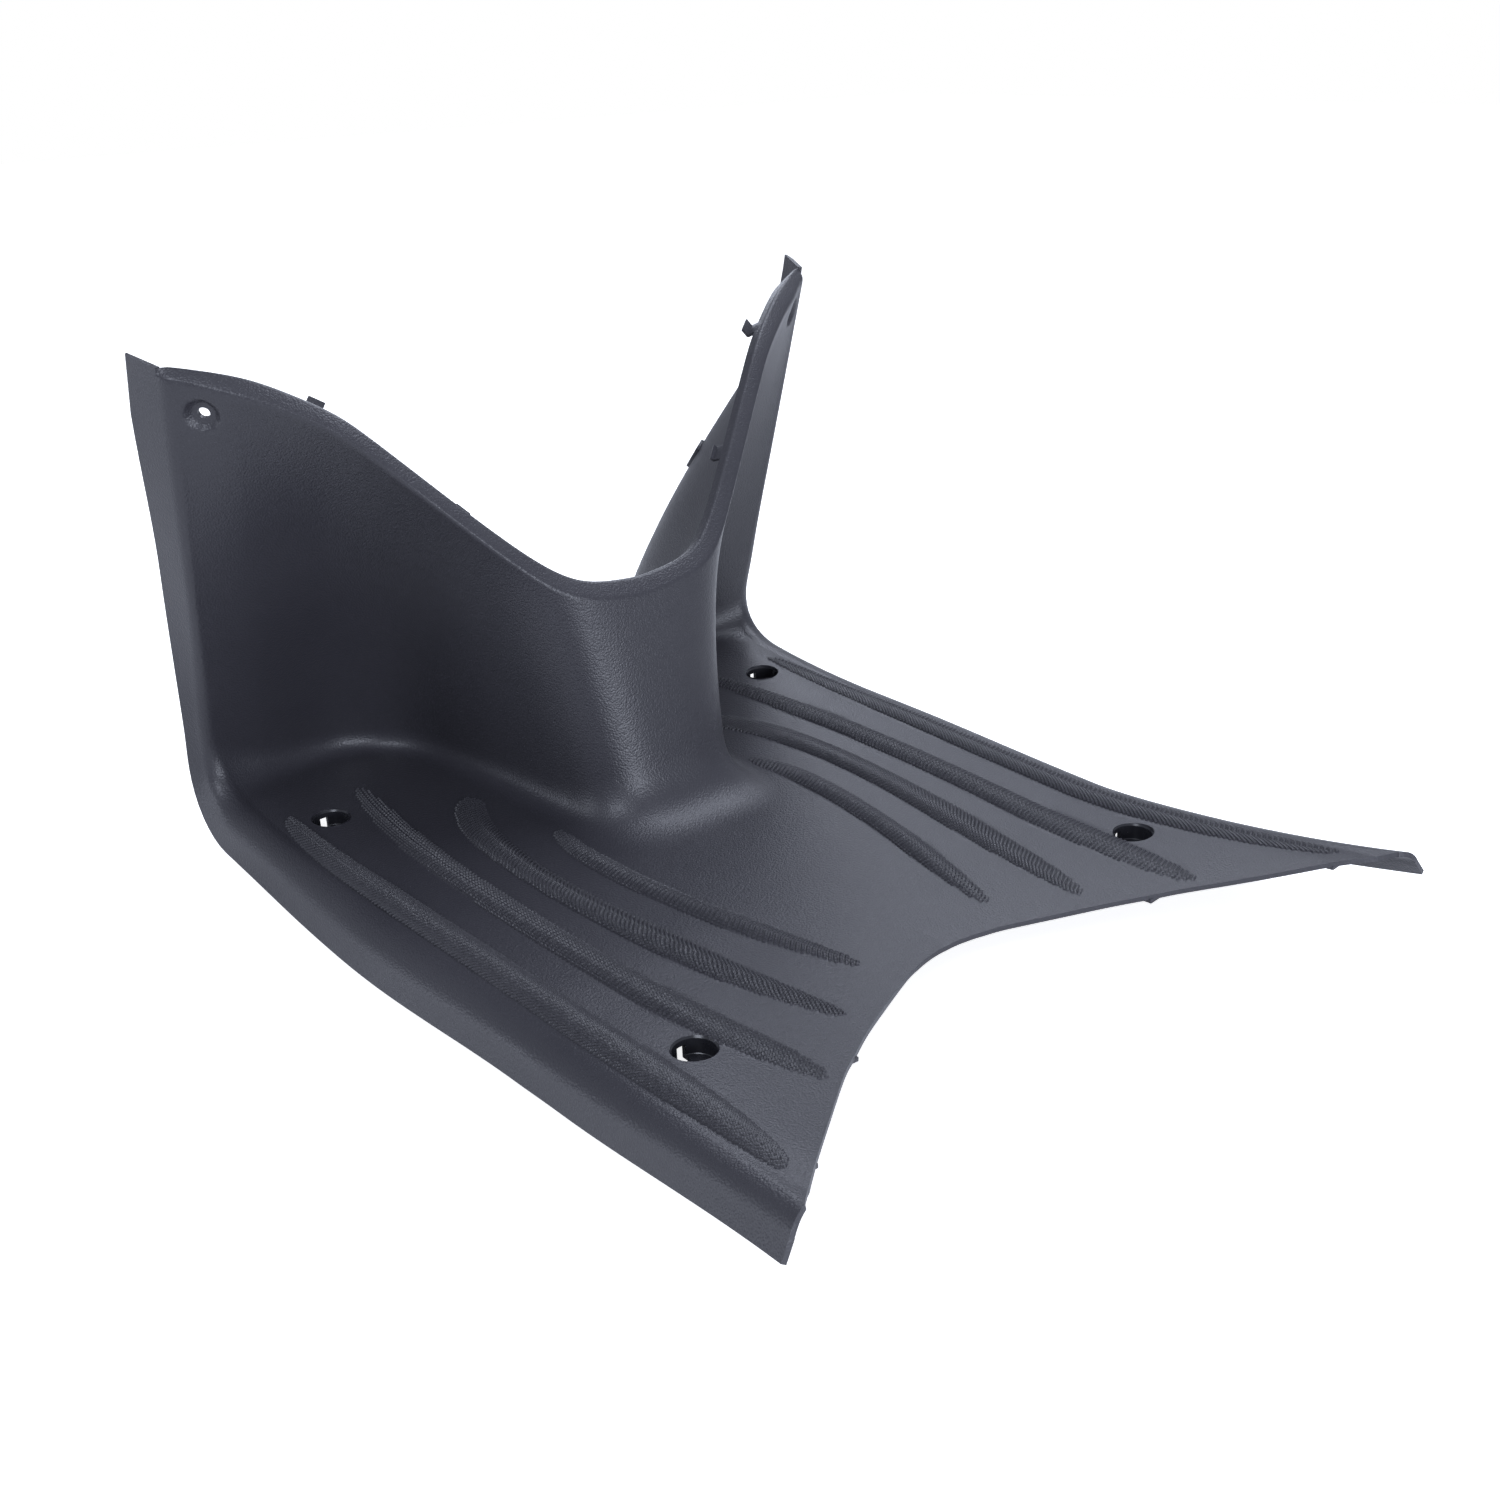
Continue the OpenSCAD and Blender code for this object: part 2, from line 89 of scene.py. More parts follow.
tongue = {"width": 12, "reach": 1.5, "xs": (98, 169)}
rib = {"height": 5.5, "thick": 2, "ys": (5, -50, -105), "bevel": 0.25}
knurl = {"pitch": 3.05, "height": 0.9, "topShare": 0.34, "cover": 0.96, "sink": 0.05}
bothSides = (("left", -1), ("right", 1))


def mix(a, b, s):
    return a + (b - a) * s


def unit(v):
    return v / np.maximum(np.linalg.norm(v, axis=-1, keepdims=True), 1e-6)


def ease(s):
    c = np.clip(s, 0, 1)
    return c * c * (3 - 2 * c)


def quad(a, b, c, s):
    return mix(mix(a, b, s), mix(b, c, s), s)


def hinge(x, start, rounding):
    return (np.sqrt((x - start) ** 2 + rounding ** 2) + x - start) / 2


def column(values):
    return np.asarray(values, float)[..., None]


# Smooth curve through a list of points that mirrors about its first one; plain numbers mirror unchanged
def through(points, u):
    p = np.asarray(points, float)
    flip = np.ones(p.shape[1:])
    if p.ndim == 2:
        flip[0] = -1
    p = np.concatenate([p[1:2] * flip, p, 2 * p[-1:] - p[-2:-1]])
    u = np.asarray(u, float)
    i = np.clip(np.floor(u).astype(int), 0, len(points) - 2)
    s = u - i
    if p.ndim == 2:
        s = s[..., None]
    a, b, c, d = p[i], p[i + 1], p[i + 2], p[i + 3]
    square, cube = 2 * a - 5 * b + 4 * c - d, 3 * b - a - 3 * c + d
    return 0.5 * (2 * b + (c - a) * s + square * s ** 2 + cube * s ** 3)


# Flow lines of the shell from the middle (0) to the side (8)
def flowLines(k):
    c, y = k["coverHalfW"], k["coverFootY"]
    nose = 0.55 * c
    ridgeX = [tread["firstX"] + i * tread["pitch"] for i in range(4)]
    k["ridgeX"] = ridgeX
    k["rearEnds"] = [rearEdge(k, s) for s in (0, 0.05, 0.11, 0.19, 0.39, 0.505, 0.62, 0.93, 1)]
    k["feet"] = [(0, y), (nose, y + 3), (0.89 * c, y + 18), (c, y + 44),
                 (c + k["coverSpread"], y + k["coverSideL"]), (c + 19, k["wellY"] - 24),
                 (c + 57, k["wellY"]), (k["footHalfW"] - 27, k["wellY"] - 9), (k["footHalfW"], k["footY"])]
    k["firstLeads"] = [(0, -30), (34, -8), (68, 30), (96, 60), (128, 118), (146, 150), (156, 160),
                       (200, 100), (k["waistHalfW"] + 2.5, 41)]
    k["middles"] = [0, 26, 54, ridgeX[0], ridgeX[1], (ridgeX[1] + ridgeX[2]) / 2, ridgeX[2], ridgeX[3],
                    k["waistHalfW"]]
    leadYs = [-97, -90, -75, -60, -20, -40, -70, -120, -120]
    ends = zip(k["middles"], k["feet"], k["firstLeads"], k["rearEnds"], leadYs)
    k["secondLeads"] = [((8 * x - foot[0] - 3 * lead[0] - rear[0]) / 3, leadY)
                        for x, foot, lead, rear, leadY in ends]
    top = k["topHalfW"]
    rimXs = np.array([0, nose - 2, c - 6, c + 10, c + 33, c + 60, top - 64, top - 28, top], float)
    k["rims"] = rimAt(k, rimXs)
    shares = np.array([0, 0, 0, 0.2, 0.7, 1, 1, 0.45, 0]) * k["vaultBow"]
    low = np.column_stack([np.array(k["feet"]), np.zeros(9)])
    k["bows"] = mix(low, k["rims"], 0.5) + shares[:, None] * np.array([-0.25, 1, 0.9])
    k["bows"][8] += np.array([3, -3.5, 0])
    k["fillets"] = [30, 30, 26, 20, 17, 16, 16, 22, 36.5]


def rearEdge(k, share):
    rounding = 0.12
    run = math.sqrt(share * share + rounding * rounding) - rounding
    s = run / (math.sqrt(1 + rounding * rounding) - rounding)
    return (share * k["rearHalfW"], mix(k["rearNotchY"], k["rearCornerY"], 0.62 * s + 0.38 * s * s))


# Rim: level over the column cover, then a slope that eases off towards the upper corner
def rimAt(k, x):
    x = np.asarray(x, float)
    rimEase, cornerEase = k["topHalfW"] - k["rimEaseFrom"], k["topHalfW"] - k["cornerEaseFrom"]
    yRun = lambda v: hinge(v, k["coverHalfW"] - 8, 12)
    zRun = lambda v: (hinge(v, k["coverHalfW"] - 6, k["rimRound"])
                      - 0.45 * hinge(v, rimEase, 8) - 0.4 * hinge(v, cornerEase, 15))
    y = mix(k["coverTopY"], k["topY"], (yRun(x) - yRun(0)) / (yRun(k["topHalfW"]) - yRun(0)))
    z = mix(k["coverTopZ"], k["topZ"], (zRun(x) - zRun(0)) / (zRun(k["topHalfW"]) - zRun(0)))
    return np.stack([x, y, z], -1)


# Front edge of the rim's band, the way it faces, the direction along the rim and the band's slope
def rimEdge(k, x):
    along = rimAt(k, x + 1) - rimAt(k, x - 1)
    ahead = unit(np.stack([-along[..., 1], along[..., 0], np.zeros_like(along[..., 0])], -1))
    corner = column(ease((x - k["topHalfW"] + k["lipFade"]) / k["lipFade"]))
    way = 0.85 * ahead - np.array([0, 0, 0.5])
    slope = (1 - 0.35 * corner) * (0.66 * ahead + np.array([0, 0, 0.75]))
    return rimAt(k, x) + (1 - 0.85 * corner) * k["lipEdgeW"] * way, way, along, slope


def floorZ(k, p):
    across = np.minimum(1.1, np.abs(p[..., 0]) / k["waistHalfW"])
    roll = np.clip((across - k["rollFrom"]) / (1 - k["rollFrom"]), 0, 1)
    back = np.maximum(0, (k["riseFromY"] - p[..., 1]) / (k["riseFromY"] - k["rearCornerY"]))
    riseStart, riseEnd = k["coverFootY"] + k["wellRiseAhead"], k["wellY"] - k["wellRiseShort"]
    ahead = np.maximum(0, (p[..., 1] - riseStart) / (riseEnd - riseStart))
    return (-k["floorDish"] * (1 - across ** 2) - k["sideRoll"] * roll ** 2
            + k["rearRise"] * back ** 1.4 * across ** 0.9 + k["wellRise"] * ahead ** 2 * across ** 2)


def plan(k, u, t):
    t = np.asarray(t, float)[..., None]
    a, b, c, d = (through(k[n], u) for n in ("feet", "firstLeads", "secondLeads", "rearEnds"))
    return mix(quad(a, b, c, t), quad(b, c, d, t), t)


def ridgeSize(i, t):
    start, end = tread["ends"][i]
    s = (t - start) / (end - start)
    inside = (s > 0) & (s < 1)
    grow = np.minimum(1, np.clip(s, 0, None) / 0.3) ** 0.42
    fade = np.minimum(1, np.clip(1 - s, 0, None) / 0.25) ** 0.42
    return np.where(inside, grow * fade, 0)


def ridgeHeight(k, u, t):
    across = np.interp(u, range(9), k["middles"])
    height = np.zeros(np.broadcast(u, t).shape)
    for i, x in enumerate(k["ridgeX"]):
        size = ridgeSize(i, t)
        share = np.abs(across - x) / tread["halfW"]
        bump = tread["height"] * size ** 2 * (1 - share ** 2 / np.maximum(size, 1e-6) ** 2)
        height = np.maximum(height, np.where(share < size, bump, 0))
    return height


def floorPoint(k, u, t):
    p = plan(k, u, t)
    return np.concatenate([p, (floorZ(k, p) + ridgeHeight(k, u, t))[..., None]], -1)


# One row of the shell over all flow lines u: zone 0 floor, 1 fillet, 2 wall, 3 rim band and edge
def shellRow(k, u, zone, s):
    fillet = through(k["fillets"], u)
    foot = through(k["feet"], u)
    start = fillet / (3 * np.linalg.norm(through(k["firstLeads"], u) - foot, axis=-1))
    if zone == 0:
        return floorPoint(k, u, mix(1, start, s))
    x = through(k["rims"], u)[..., 0]
    tip = rimAt(k, x)
    edge, _, _, slope = rimEdge(k, x)
    rim = tip - k["lipW"] * slope
    low = floorPoint(k, u, start)
    corner = np.concatenate([foot, floorZ(k, foot)[..., None]], -1)
    bow = through(k["bows"], u)
    high = corner + fillet[..., None] * unit(bow - corner)
    if zone == 1:
        return quad(low, corner, high, s)
    if zone == 2:
        return quad(high, bow, rim, s * band["wallEnd"])
    flatStart, flatEnd = mix(rim, tip, band["flatFrom"]), mix(rim, tip, band["flatTo"])
    edgeStart = mix(tip, edge, band["edgeFrom"])
    if s < 0.3:
        return quad(quad(high, bow, rim, band["wallEnd"]), rim, flatStart, s / 0.3)
    if s < 0.6:
        return mix(flatStart, flatEnd, (s - 0.3) / 0.3)
    if s < 0.85:
        return quad(flatEnd, tip, edgeStart, (s - 0.6) / 0.25)
    return mix(edgeStart, edge, (s - 0.85) / 0.15)


# Rows of the shell from the rear edge to the rim; they lie closer together where the recesses are
def shellRows():
    floorRows = [(0, i / 110) for i in range(111)]
    filletRows = [(1, i / 12) for i in range(1, 13)]
    wallRows = [(2, i / 26) for i in range(1, 20)] + [(2, s) for s in np.linspace(0.75, 1, 40)]
    rimShares = (0.06, 0.12, 0.18, 0.24, 0.3, 0.45, 0.6, 0.66, 0.72, 0.78, 0.85, 1)
    return floorRows + filletRows + wallRows + [(3, s) for s in rimShares]


# Place of a row among the skirt's stations
def sideStation(zone, s):
    return {0: 3 * s, 1: 3 + s, 2: 4 + 2 * s, 3: 6}[zone]


def stepped(values, u):
    i = min(int(u), len(values) - 2)
    return mix(values[i], values[i + 1], ease(u - i))


# Skirt along the floor and flange along the wall, turned down and forward from the shell's side edge
def skirtColumns(k, rows, places):
    flares = np.array(skirt["flareShares"]) * skirt["flare"]
    depths = [share * skirt["drop"] for share in skirt["dropShares"]] + [skirt["flangeDepth"]] * 2
    edge = np.array([shellRow(k, np.array([8.0]), *row)[0] for row in rows])
    inner = np.array([shellRow(k, np.array([7.6]), *row)[0] for row in rows])
    wallEnd = max(i for i, row in enumerate(rows) if row[0] == 2)
    rimRise = edge[np.argmax(edge[:, 2])] - edge[wallEnd]
    outward = np.array([1, 0, 0])
    out = np.zeros((len(places), len(rows), 3))
    for i, row in enumerate(rows):
        station = sideStation(*row)
        here = min(i, wallEnd)
        way = edge[min(here + 1, wallEnd)] - edge[max(0, here - 1)]
        way = unit(np.array([0, way[1], way[2]]))
        down = np.array([0, way[2], -way[1]])
        flare, fall = stepped(flares, station) * outward, stepped(depths, station) * down
        # The flange runs on flat beside the rim's band
        share = max(0, i - wallEnd) / (len(rows) - 1 - wallEnd)
        base = edge[i] if share == 0 else edge[wallEnd] + (rimRise @ way) * share * way
        tip = base + flare + fall
        a = edge[i] - skirt["inset"] * unit(edge[i] - inner[i])
        b = base + stepped(skirt["turns"], station) * unit(tip - base)
        roll = stepped(skirt["rolls"], station)
        corner = edge[i] + roll * (0.6 * flare + 0.12 * fall)
        b = mix(b, mix(corner, tip, 0.45), roll)
        for j, w in enumerate(places):
            out[j, i] = quad(a, corner, b, w) if w <= 1 else mix(b, tip, w - 1)
    return out


# Flow lines that the shell is meshed on, with thirteen over each ridge
def shellColumns(k):
    half = tread["halfW"]
    xs = list(np.linspace(0, k["middles"][3] - half, 18, endpoint=False))
    for i, x in enumerate(k["ridgeX"]):
        xs += [x + half * v for v in np.linspace(-1, 1, 13)]
        if i < 3:
            xs += list(np.linspace(x + half, x + tread["pitch"] - half, 7)[1:-1])
    return np.interp([x for x in xs if x < k["ridgeX"][3]], k["middles"], range(9))


# The last columns before the skirt lie closer together on the wall, where the upper recess is
def rowColumns(main, zone, s):
    floorEnd, wallEnd = 7.62, 7.82
    end = {0: floorEnd, 1: mix(floorEnd, wallEnd, s)}.get(zone, wallEnd)
    return np.concatenate([main, np.linspace(7, end, 20)])


def gridNormals(grid):
    across = np.empty_like(grid)
    across[1:-1] = grid[2:] - grid[:-2]
    across[0], across[-1] = grid[1] - grid[0], grid[-1] - grid[-2]
    along = np.empty_like(grid)
    along[:, 1:-1] = grid[:, 2:] - grid[:, :-2]
    along[:, 0], along[:, -1] = grid[:, 1] - grid[:, 0], grid[:, -1] - grid[:, -2]
    return unit(np.cross(across, along))


# Closed skin from a grid of points: top, underside one wall below, and the four edges
def closedSkin(grid, wall):
    n, m = grid.shape[:2]
    under = grid - wall * gridNormals(grid)
    points = np.concatenate([grid.reshape(-1, 3), under.reshape(-1, 3)])
    at = np.arange(n * m).reshape(n, m)
    a, b, c, d = at[:-1, :-1], at[:-1, 1:], at[1:, 1:], at[1:, :-1]
    top = np.stack([a, d, c, b], -1).reshape(-1, 4)
    faces = [top, top[:, ::-1] + n * m]
    rim = np.concatenate([at[0, :], at[1:, -1], at[-1, -2::-1], at[-2:0:-1, 0], at[:1, 0]])
    faces.append(np.stack([rim[:-1], rim[1:], rim[1:] + n * m, rim[:-1] + n * m], -1))
    return points, np.concatenate(faces)


def addPiece(name, points, faces):
    mesh = bpy.data.meshes.new(name)
    mesh.from_pydata([tuple(p) for p in points], [], [tuple(int(i) for i in f) for f in faces])
    mesh.update()
    piece = bpy.data.objects.new(name, mesh)
    bpy.context.scene.collection.objects.link(piece)
    return piece


def smooth(piece, degrees):
    mesh = piece.data
    mesh.shade_smooth()
    mesh.set_sharp_from_angle(angle=math.radians(degrees))


def apply(piece):
    graph = bpy.context.evaluated_depsgraph_get()
    mesh = bpy.data.meshes.new_from_object(piece.evaluated_get(graph), depsgraph=graph)
    piece.modifiers.clear()
    piece.data = mesh


def subtract(piece, cutter):
    cut = piece.modifiers.new("cut", "BOOLEAN")
    cut.operation = "DIFFERENCE"
    cut.solver = "MANIFOLD"
    cut.object = cutter
    apply(piece)
    bpy.data.objects.remove(cutter)


# Solid of revolution about a line through centre; the profile runs (radius, height) from pole to pole
def lathe(name, profile, centre, turn=None):
    sides = 72
    points, faces = [], []
    for r, z in profile:
        for i in range(sides):
            a = 2 * math.pi * i / sides
            points.append(Vector((r * math.cos(a), r * math.sin(a), z)))
    for j in range(len(profile) - 1):
        for i in range(sides):
            n = (i + 1) % sides
            faces.append((j * sides + i, j * sides + n, (j + 1) * sides + n, (j + 1) * sides + i))
    faces.append(tuple(range(sides))[::-1])
    faces.append(tuple((len(profile) - 1) * sides + i for i in range(sides)))
    move = Matrix.Translation(centre) @ (turn or Matrix.Identity(4))
    piece = addPiece(name, [move @ p for p in points], faces)
    mesh = bmesh.new()
    mesh.from_mesh(piece.data)
    bmesh.ops.remove_doubles(mesh, verts=mesh.verts, dist=1e-7)
    bmesh.ops.recalc_face_normals(mesh, faces=mesh.faces)
    mesh.to_mesh(piece.data)
    mesh.free()
    return piece


def block(name, low, high):
    x, y, z = zip(low, high)
    points = [(a, b, c) for a in x for b in y for c in z]
    faces = [(0, 1, 3, 2), (4, 6, 7, 5), (0, 4, 5, 1), (2, 3, 7, 6), (0, 2, 6, 4), (1, 5, 7, 3)]
    return addPiece(name, points, faces)


# Recess of an upper screw: the wall sinks smoothly to a flat bottom round the screw's axis
def dimple(grid, mouth, axis):
    v = grid - mouth
    h = v @ axis
    r = np.linalg.norm(v - h[..., None] * axis, axis=-1)
    share = ease((recess["mouthR"] - r) / (recess["mouthR"] - recess["bottomR"]))
    near = np.abs(h) < 3 * recess["depth"]  # other places on the same axis stay as they are
    return grid - (np.where(near, share, 0) * recess["depth"])[..., None] * axis


# From the screws' middle to the frame's own origin
flowLines(shell)
frontMount, rearMount = mounts["front_floor_screws"], mounts["rear_floor_screws"]
upperMount = mounts["right_upper_screw"]
frontScrew = np.array([frontMount["dims"]["spacing_x_mm"] / 2, 0, 0])
rearScrew = np.array([rearMount["dims"]["spacing_x_mm"] / 2, 0, 0])
rowGap = (frontMount["pos_m"][1] - rearMount["pos_m"][1]) / mm
frontScrew[1], rearScrew[1] = rowGap / 2, -rowGap / 2
frontScrew[2], rearScrew[2] = floorZ(shell, frontScrew), floorZ(shell, rearScrew)
shift = np.array([0, frontMount["pos_m"][1] / mm - frontScrew[1],
                  frontMount["pos_m"][2] / mm + cup["depth"] - frontScrew[2]])
place = lambda p: (np.asarray(p) + shift) * mm
upperAxis = unit(np.array(upperMount["axis"]))
upperMouth = np.array(upperMount["pos_m"]) / mm - shift + upperAxis * (recess["depth"] + shell["wall"] / 2)

rows = shellRows()
mainColumns = shellColumns(shell)
skirtPlaces = [*np.linspace(0, 1, 13), 1.33, 1.66, 2]
halfGrid = np.concatenate([
    np.stack([shellRow(shell, rowColumns(mainColumns, *row), *row) for row in rows], 1),
    skirtColumns(shell, rows, skirtPlaces)])
halfGrid = dimple(halfGrid, upperMouth, upperAxis)
flip = np.array([-1, 1, 1])
grid = np.concatenate([(halfGrid[1:] * flip)[::-1], halfGrid])
print("shell lofted:", grid.shape)

points, faces = closedSkin(grid, shell["wall"])
skin = addPiece("floorboardShell", np.clip(place(points), solidLow, solidHigh), faces)
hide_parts("floorboard")
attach(skin, "root")
print("shell faces:", len(faces))


# Cup of a floor screw, with its mouth in the skin, a hole in its bottom and a window at its front
def screwCup(name, at):
    names = ("radius", "depth", "wall", "rim", "round", "collar", "screwR", "windowW")
    r, d, w, e, c, collar, hole, windowW = (cup[n] * mm for n in names)
    centre = Vector(place(at))
    drill = lathe("drill", [(r + e, -d * 2), (r + e, d)], centre)
    subtract(skin, drill)
    inside = [(hole, -d), (r - c, -d), (r, c - d), (r, -1.3 * e), (r + e, -0.15 * e)]
    outside = [(r + e, -2 * e), (r + w, -collar), (r + w, -d - w), (hole, -d - w)]
    body = lathe(name, inside + outside, centre)
    closeRing(body)
    low = Vector((-windowW / 2, hole + w, -d - 2 * w))
    high = Vector((windowW / 2, r + 2 * w, -cup["windowTop"] * d))
    subtract(body, block("window", centre + low, centre + high))
    smooth(body, 30)
    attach(body, "root")
    return body


# A ring's profile is closed on itself, so its two end caps give way to a wall round the hole
def closeRing(piece):
    mesh = bmesh.new()
    mesh.from_mesh(piece.data)
    caps = [f for f in mesh.faces if len(f.verts) > 8]
    bmesh.ops.delete(mesh, geom=caps, context="FACES_ONLY")
    edges = [e for e in mesh.edges if e.is_boundary]
    bmesh.ops.bridge_loops(mesh, edges=edges)
    bmesh.ops.recalc_face_normals(mesh, faces=mesh.faces)
    mesh.to_mesh(piece.data)
    mesh.free()


cups = []
for side, sign in bothSides:
    cups.append(screwCup("screwCupFront." + side, frontScrew * [sign, 1, 1]))
    cups.append(screwCup("screwCupRear." + side, rearScrew * [sign, 1, 1]))
print("screw cups made")


# Screw holes in the bottoms of the upper recesses
for _, sign in bothSides:
    axis = Vector(upperAxis * [sign, 1, 1])
    turn = axis.to_track_quat("Z", "Y").to_matrix().to_4x4()
    profile = [(recess["screwR"] * mm, reach * mm) for reach in recess["drillL"]]
    subtract(skin, lathe("drill", profile, Vector(place(upperMouth * [sign, 1, 1])), turn))
smooth(skin, 28)
print("upper recesses made")


# Axes on a surface at a point: along the first way, ahead towards the second, up square to both
def onSurface(point, along, ahead):
    a = unit(np.asarray(along, float))
    up = unit(np.cross(a, ahead))
    return point, np.array([a, np.cross(up, a), up])


# Straight solid over a closed profile in the (ahead, up) plane, from low to high along
def prism(name, profile, low, high, at, sign, bevel=0.35):
    n = len(profile)
    point, axes = at
    local = np.array([(x, y, z) for x in (low, high) for y, z in profile], float)
    points = (point + local @ axes) * [sign, 1, 1]
    faces = [tuple(range(n)), tuple(range(2 * n - 1, n - 1, -1))]
    faces += [(i, i + n, (i + 1) % n + n, (i + 1) % n) for i in range(n)]
    piece = addPiece(name, np.clip(place(points), solidLow, solidHigh), faces)
    mesh = bmesh.new()
    mesh.from_mesh(piece.data)
    bmesh.ops.recalc_face_normals(mesh, faces=mesh.faces)
    mesh.to_mesh(piece.data)
    mesh.free()
    edges = piece.modifiers.new("edges", "BEVEL")
    edges.width, edges.segments = bevel * mm, 2
    apply(piece)
    smooth(piece, 40)
    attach(piece, "root")
    return piece


def wallPoint(u, row):
    return shellRow(shell, np.array([u]), 2, row)[0]


def floorAt(x, y):
    return np.array([x, y, floorZ(shell, np.array([x, y]))])


# Hooked profile of a rim clip, from its root in the edge to its head
def clipProfile(head):
    reach, t = clip["reach"], clip["thick"]
    root = [(-clip["root"], -t), (reach - 1, -t), (reach, 1 - t)]
    return root + [(reach, head - 1.5 * t), (reach - t, head - t), (reach - t, 0), (-clip["root"], 0)]


# Flat plate under the skin: from start to end ahead, deep below the underside and sunk into it
def plateProfile(start, end, deep, sunk):
    low, high = -shell["wall"] - deep, sunk - shell["wall"]
    return [(start, low), (end, low), (end, high), (start, high)]


# Clips on the rim's front edge, pads behind the vaults and tongues under the rear edge
def sideParts(side, sign):
    made = []
    half, t = clip["length"] / 2, clip["thick"]
    for i, x in enumerate(clip["xs"]):
        edge, way, along, _ = rimEdge(shell, np.float64(x))
        name, profile = "rimClip%d.%s" % (i + 1, side), clipProfile(clip["heads"][i])
        made.append(prism(name, profile, -half, half, onSurface(edge, along, way), sign))
    u, row, half = pad["u"], pad["row"], pad["length"] / 2
    across = wallPoint(u + 0.1, row) - wallPoint(u - 0.1, row)
    upward = wallPoint(u, row + 0.05) - wallPoint(u, row - 0.05)
    at = onSurface(wallPoint(u, row), across, upward)
    plate = plateProfile(-half, half, 0.8 * t, 0.5 * t)
    made.append(prism("vaultPad." + side, plate, -pad["width"] / 2, pad["width"] / 2, at, sign))
    plate = plateProfile(-tongue["reach"], tongue["width"], 0.75 * t, 0.25 * t)
    for i, x in enumerate(tongue["xs"]):
        y = rearEdge(shell, x / shell["rearHalfW"])[1]
        p = floorAt(x, y)
        at = onSurface(p, floorAt(x + 1, y) - p, floorAt(x, y + 1) - p)
        made.append(prism("rearTongue%d.%s" % (i + 1, side), plate, 0, tongue["width"], at, sign))
    return made


# Cross ribs under the floor, which follow its dish and taper in at their ends
def crossRibs():
    made = []
    half = shell["ridgeX"][1] + tread["pitch"] / 2
    turned = np.array([[0, -1, 0], [1, 0, 0], [0, 0, 1]])
    for i, y in enumerate(rib["ys"]):
        low = floorAt(0, y)[2] - shell["wall"] - rib["height"]
        top = [(x, floorAt(x, y)[2] - shell["wall"] / 2) for x in np.linspace(half, -half, 33)]
        profile = top + [(rib["height"] - half, low), (half - rib["height"], low)]
        at = (np.array([0, y, 0]), turned)
        name = "floorRib%d" % (i + 1)
        made.append(prism(name, profile, -rib["thick"] / 2, rib["thick"] / 2, at, 1, rib["bevel"]))
    return made


details = [piece for side, sign in bothSides for piece in sideParts(side, sign)] + crossRibs()
print("small parts made:", len(details))


# Diamond knurl: blunt pyramids on a staggered lattice over each ridge, set out by Geometry Nodes
def knurlTree():
    tree = bpy.data.node_groups.new("treadKnurl", "GeometryNodeTree")
    tree.interface.new_socket("Geometry", in_out="INPUT", socket_type="NodeSocketGeometry")
    half = knurl["pitch"] / 2
    lengths = (("Half diagonal", half), ("Height", knurl["height"]), ("Top", half * knurl["topShare"]))
    for name, value in lengths:
        socket = tree.interface.new_socket(name, in_out="INPUT", socket_type="NodeSocketFloat")
        socket.default_value = value * mm
    finish = tree.interface.new_socket("Material", in_out="INPUT", socket_type="NodeSocketMaterial")
    tree.interface.new_socket("Geometry", in_out="OUTPUT", socket_type="NodeSocketGeometry")
    node = lambda kind: tree.nodes.new(kind)
    link = tree.links.new
    start, end = node("NodeGroupInput"), node("NodeGroupOutput")
    cone = node("GeometryNodeMeshCone")
    cone.fill_type = "NGON"
    cone.inputs["Vertices"].default_value = 4
    link(start.outputs["Top"], cone.inputs["Radius Top"])
    link(start.outputs["Half diagonal"], cone.inputs["Radius Bottom"])
    link(start.outputs["Height"], cone.inputs["Depth"])
    along, up = node("GeometryNodeInputNamedAttribute"), node("GeometryNodeInputNamedAttribute")
    for name, made in (("along", along), ("up", up)):
        made.data_type = "FLOAT_VECTOR"
        made.inputs["Name"].default_value = name
    turn, tilt = node("FunctionNodeAlignRotationToVector"), node("FunctionNodeAlignRotationToVector")
    turn.axis, tilt.axis, tilt.pivot_axis = "Z", "X", "Z"
    link(up.outputs["Attribute"], turn.inputs["Vector"])
    link(turn.outputs["Rotation"], tilt.inputs["Rotation"])
    link(along.outputs["Attribute"], tilt.inputs["Vector"])
    spread, real = node("GeometryNodeInstanceOnPoints"), node("GeometryNodeRealizeInstances")
    paint = node("GeometryNodeSetMaterial")
    link(start.outputs["Geometry"], spread.inputs["Points"])
    link(cone.outputs["Mesh"], spread.inputs["Instance"])
    link(tilt.outputs["Rotation"], spread.inputs["Rotation"])
    link(spread.outputs["Instances"], real.inputs["Geometry"])
    link(real.outputs["Geometry"], paint.inputs["Geometry"])
    link(start.outputs["Material"], paint.inputs["Material"])
    link(paint.outputs["Geometry"], end.inputs["Geometry"])
    return tree, finish.identifier


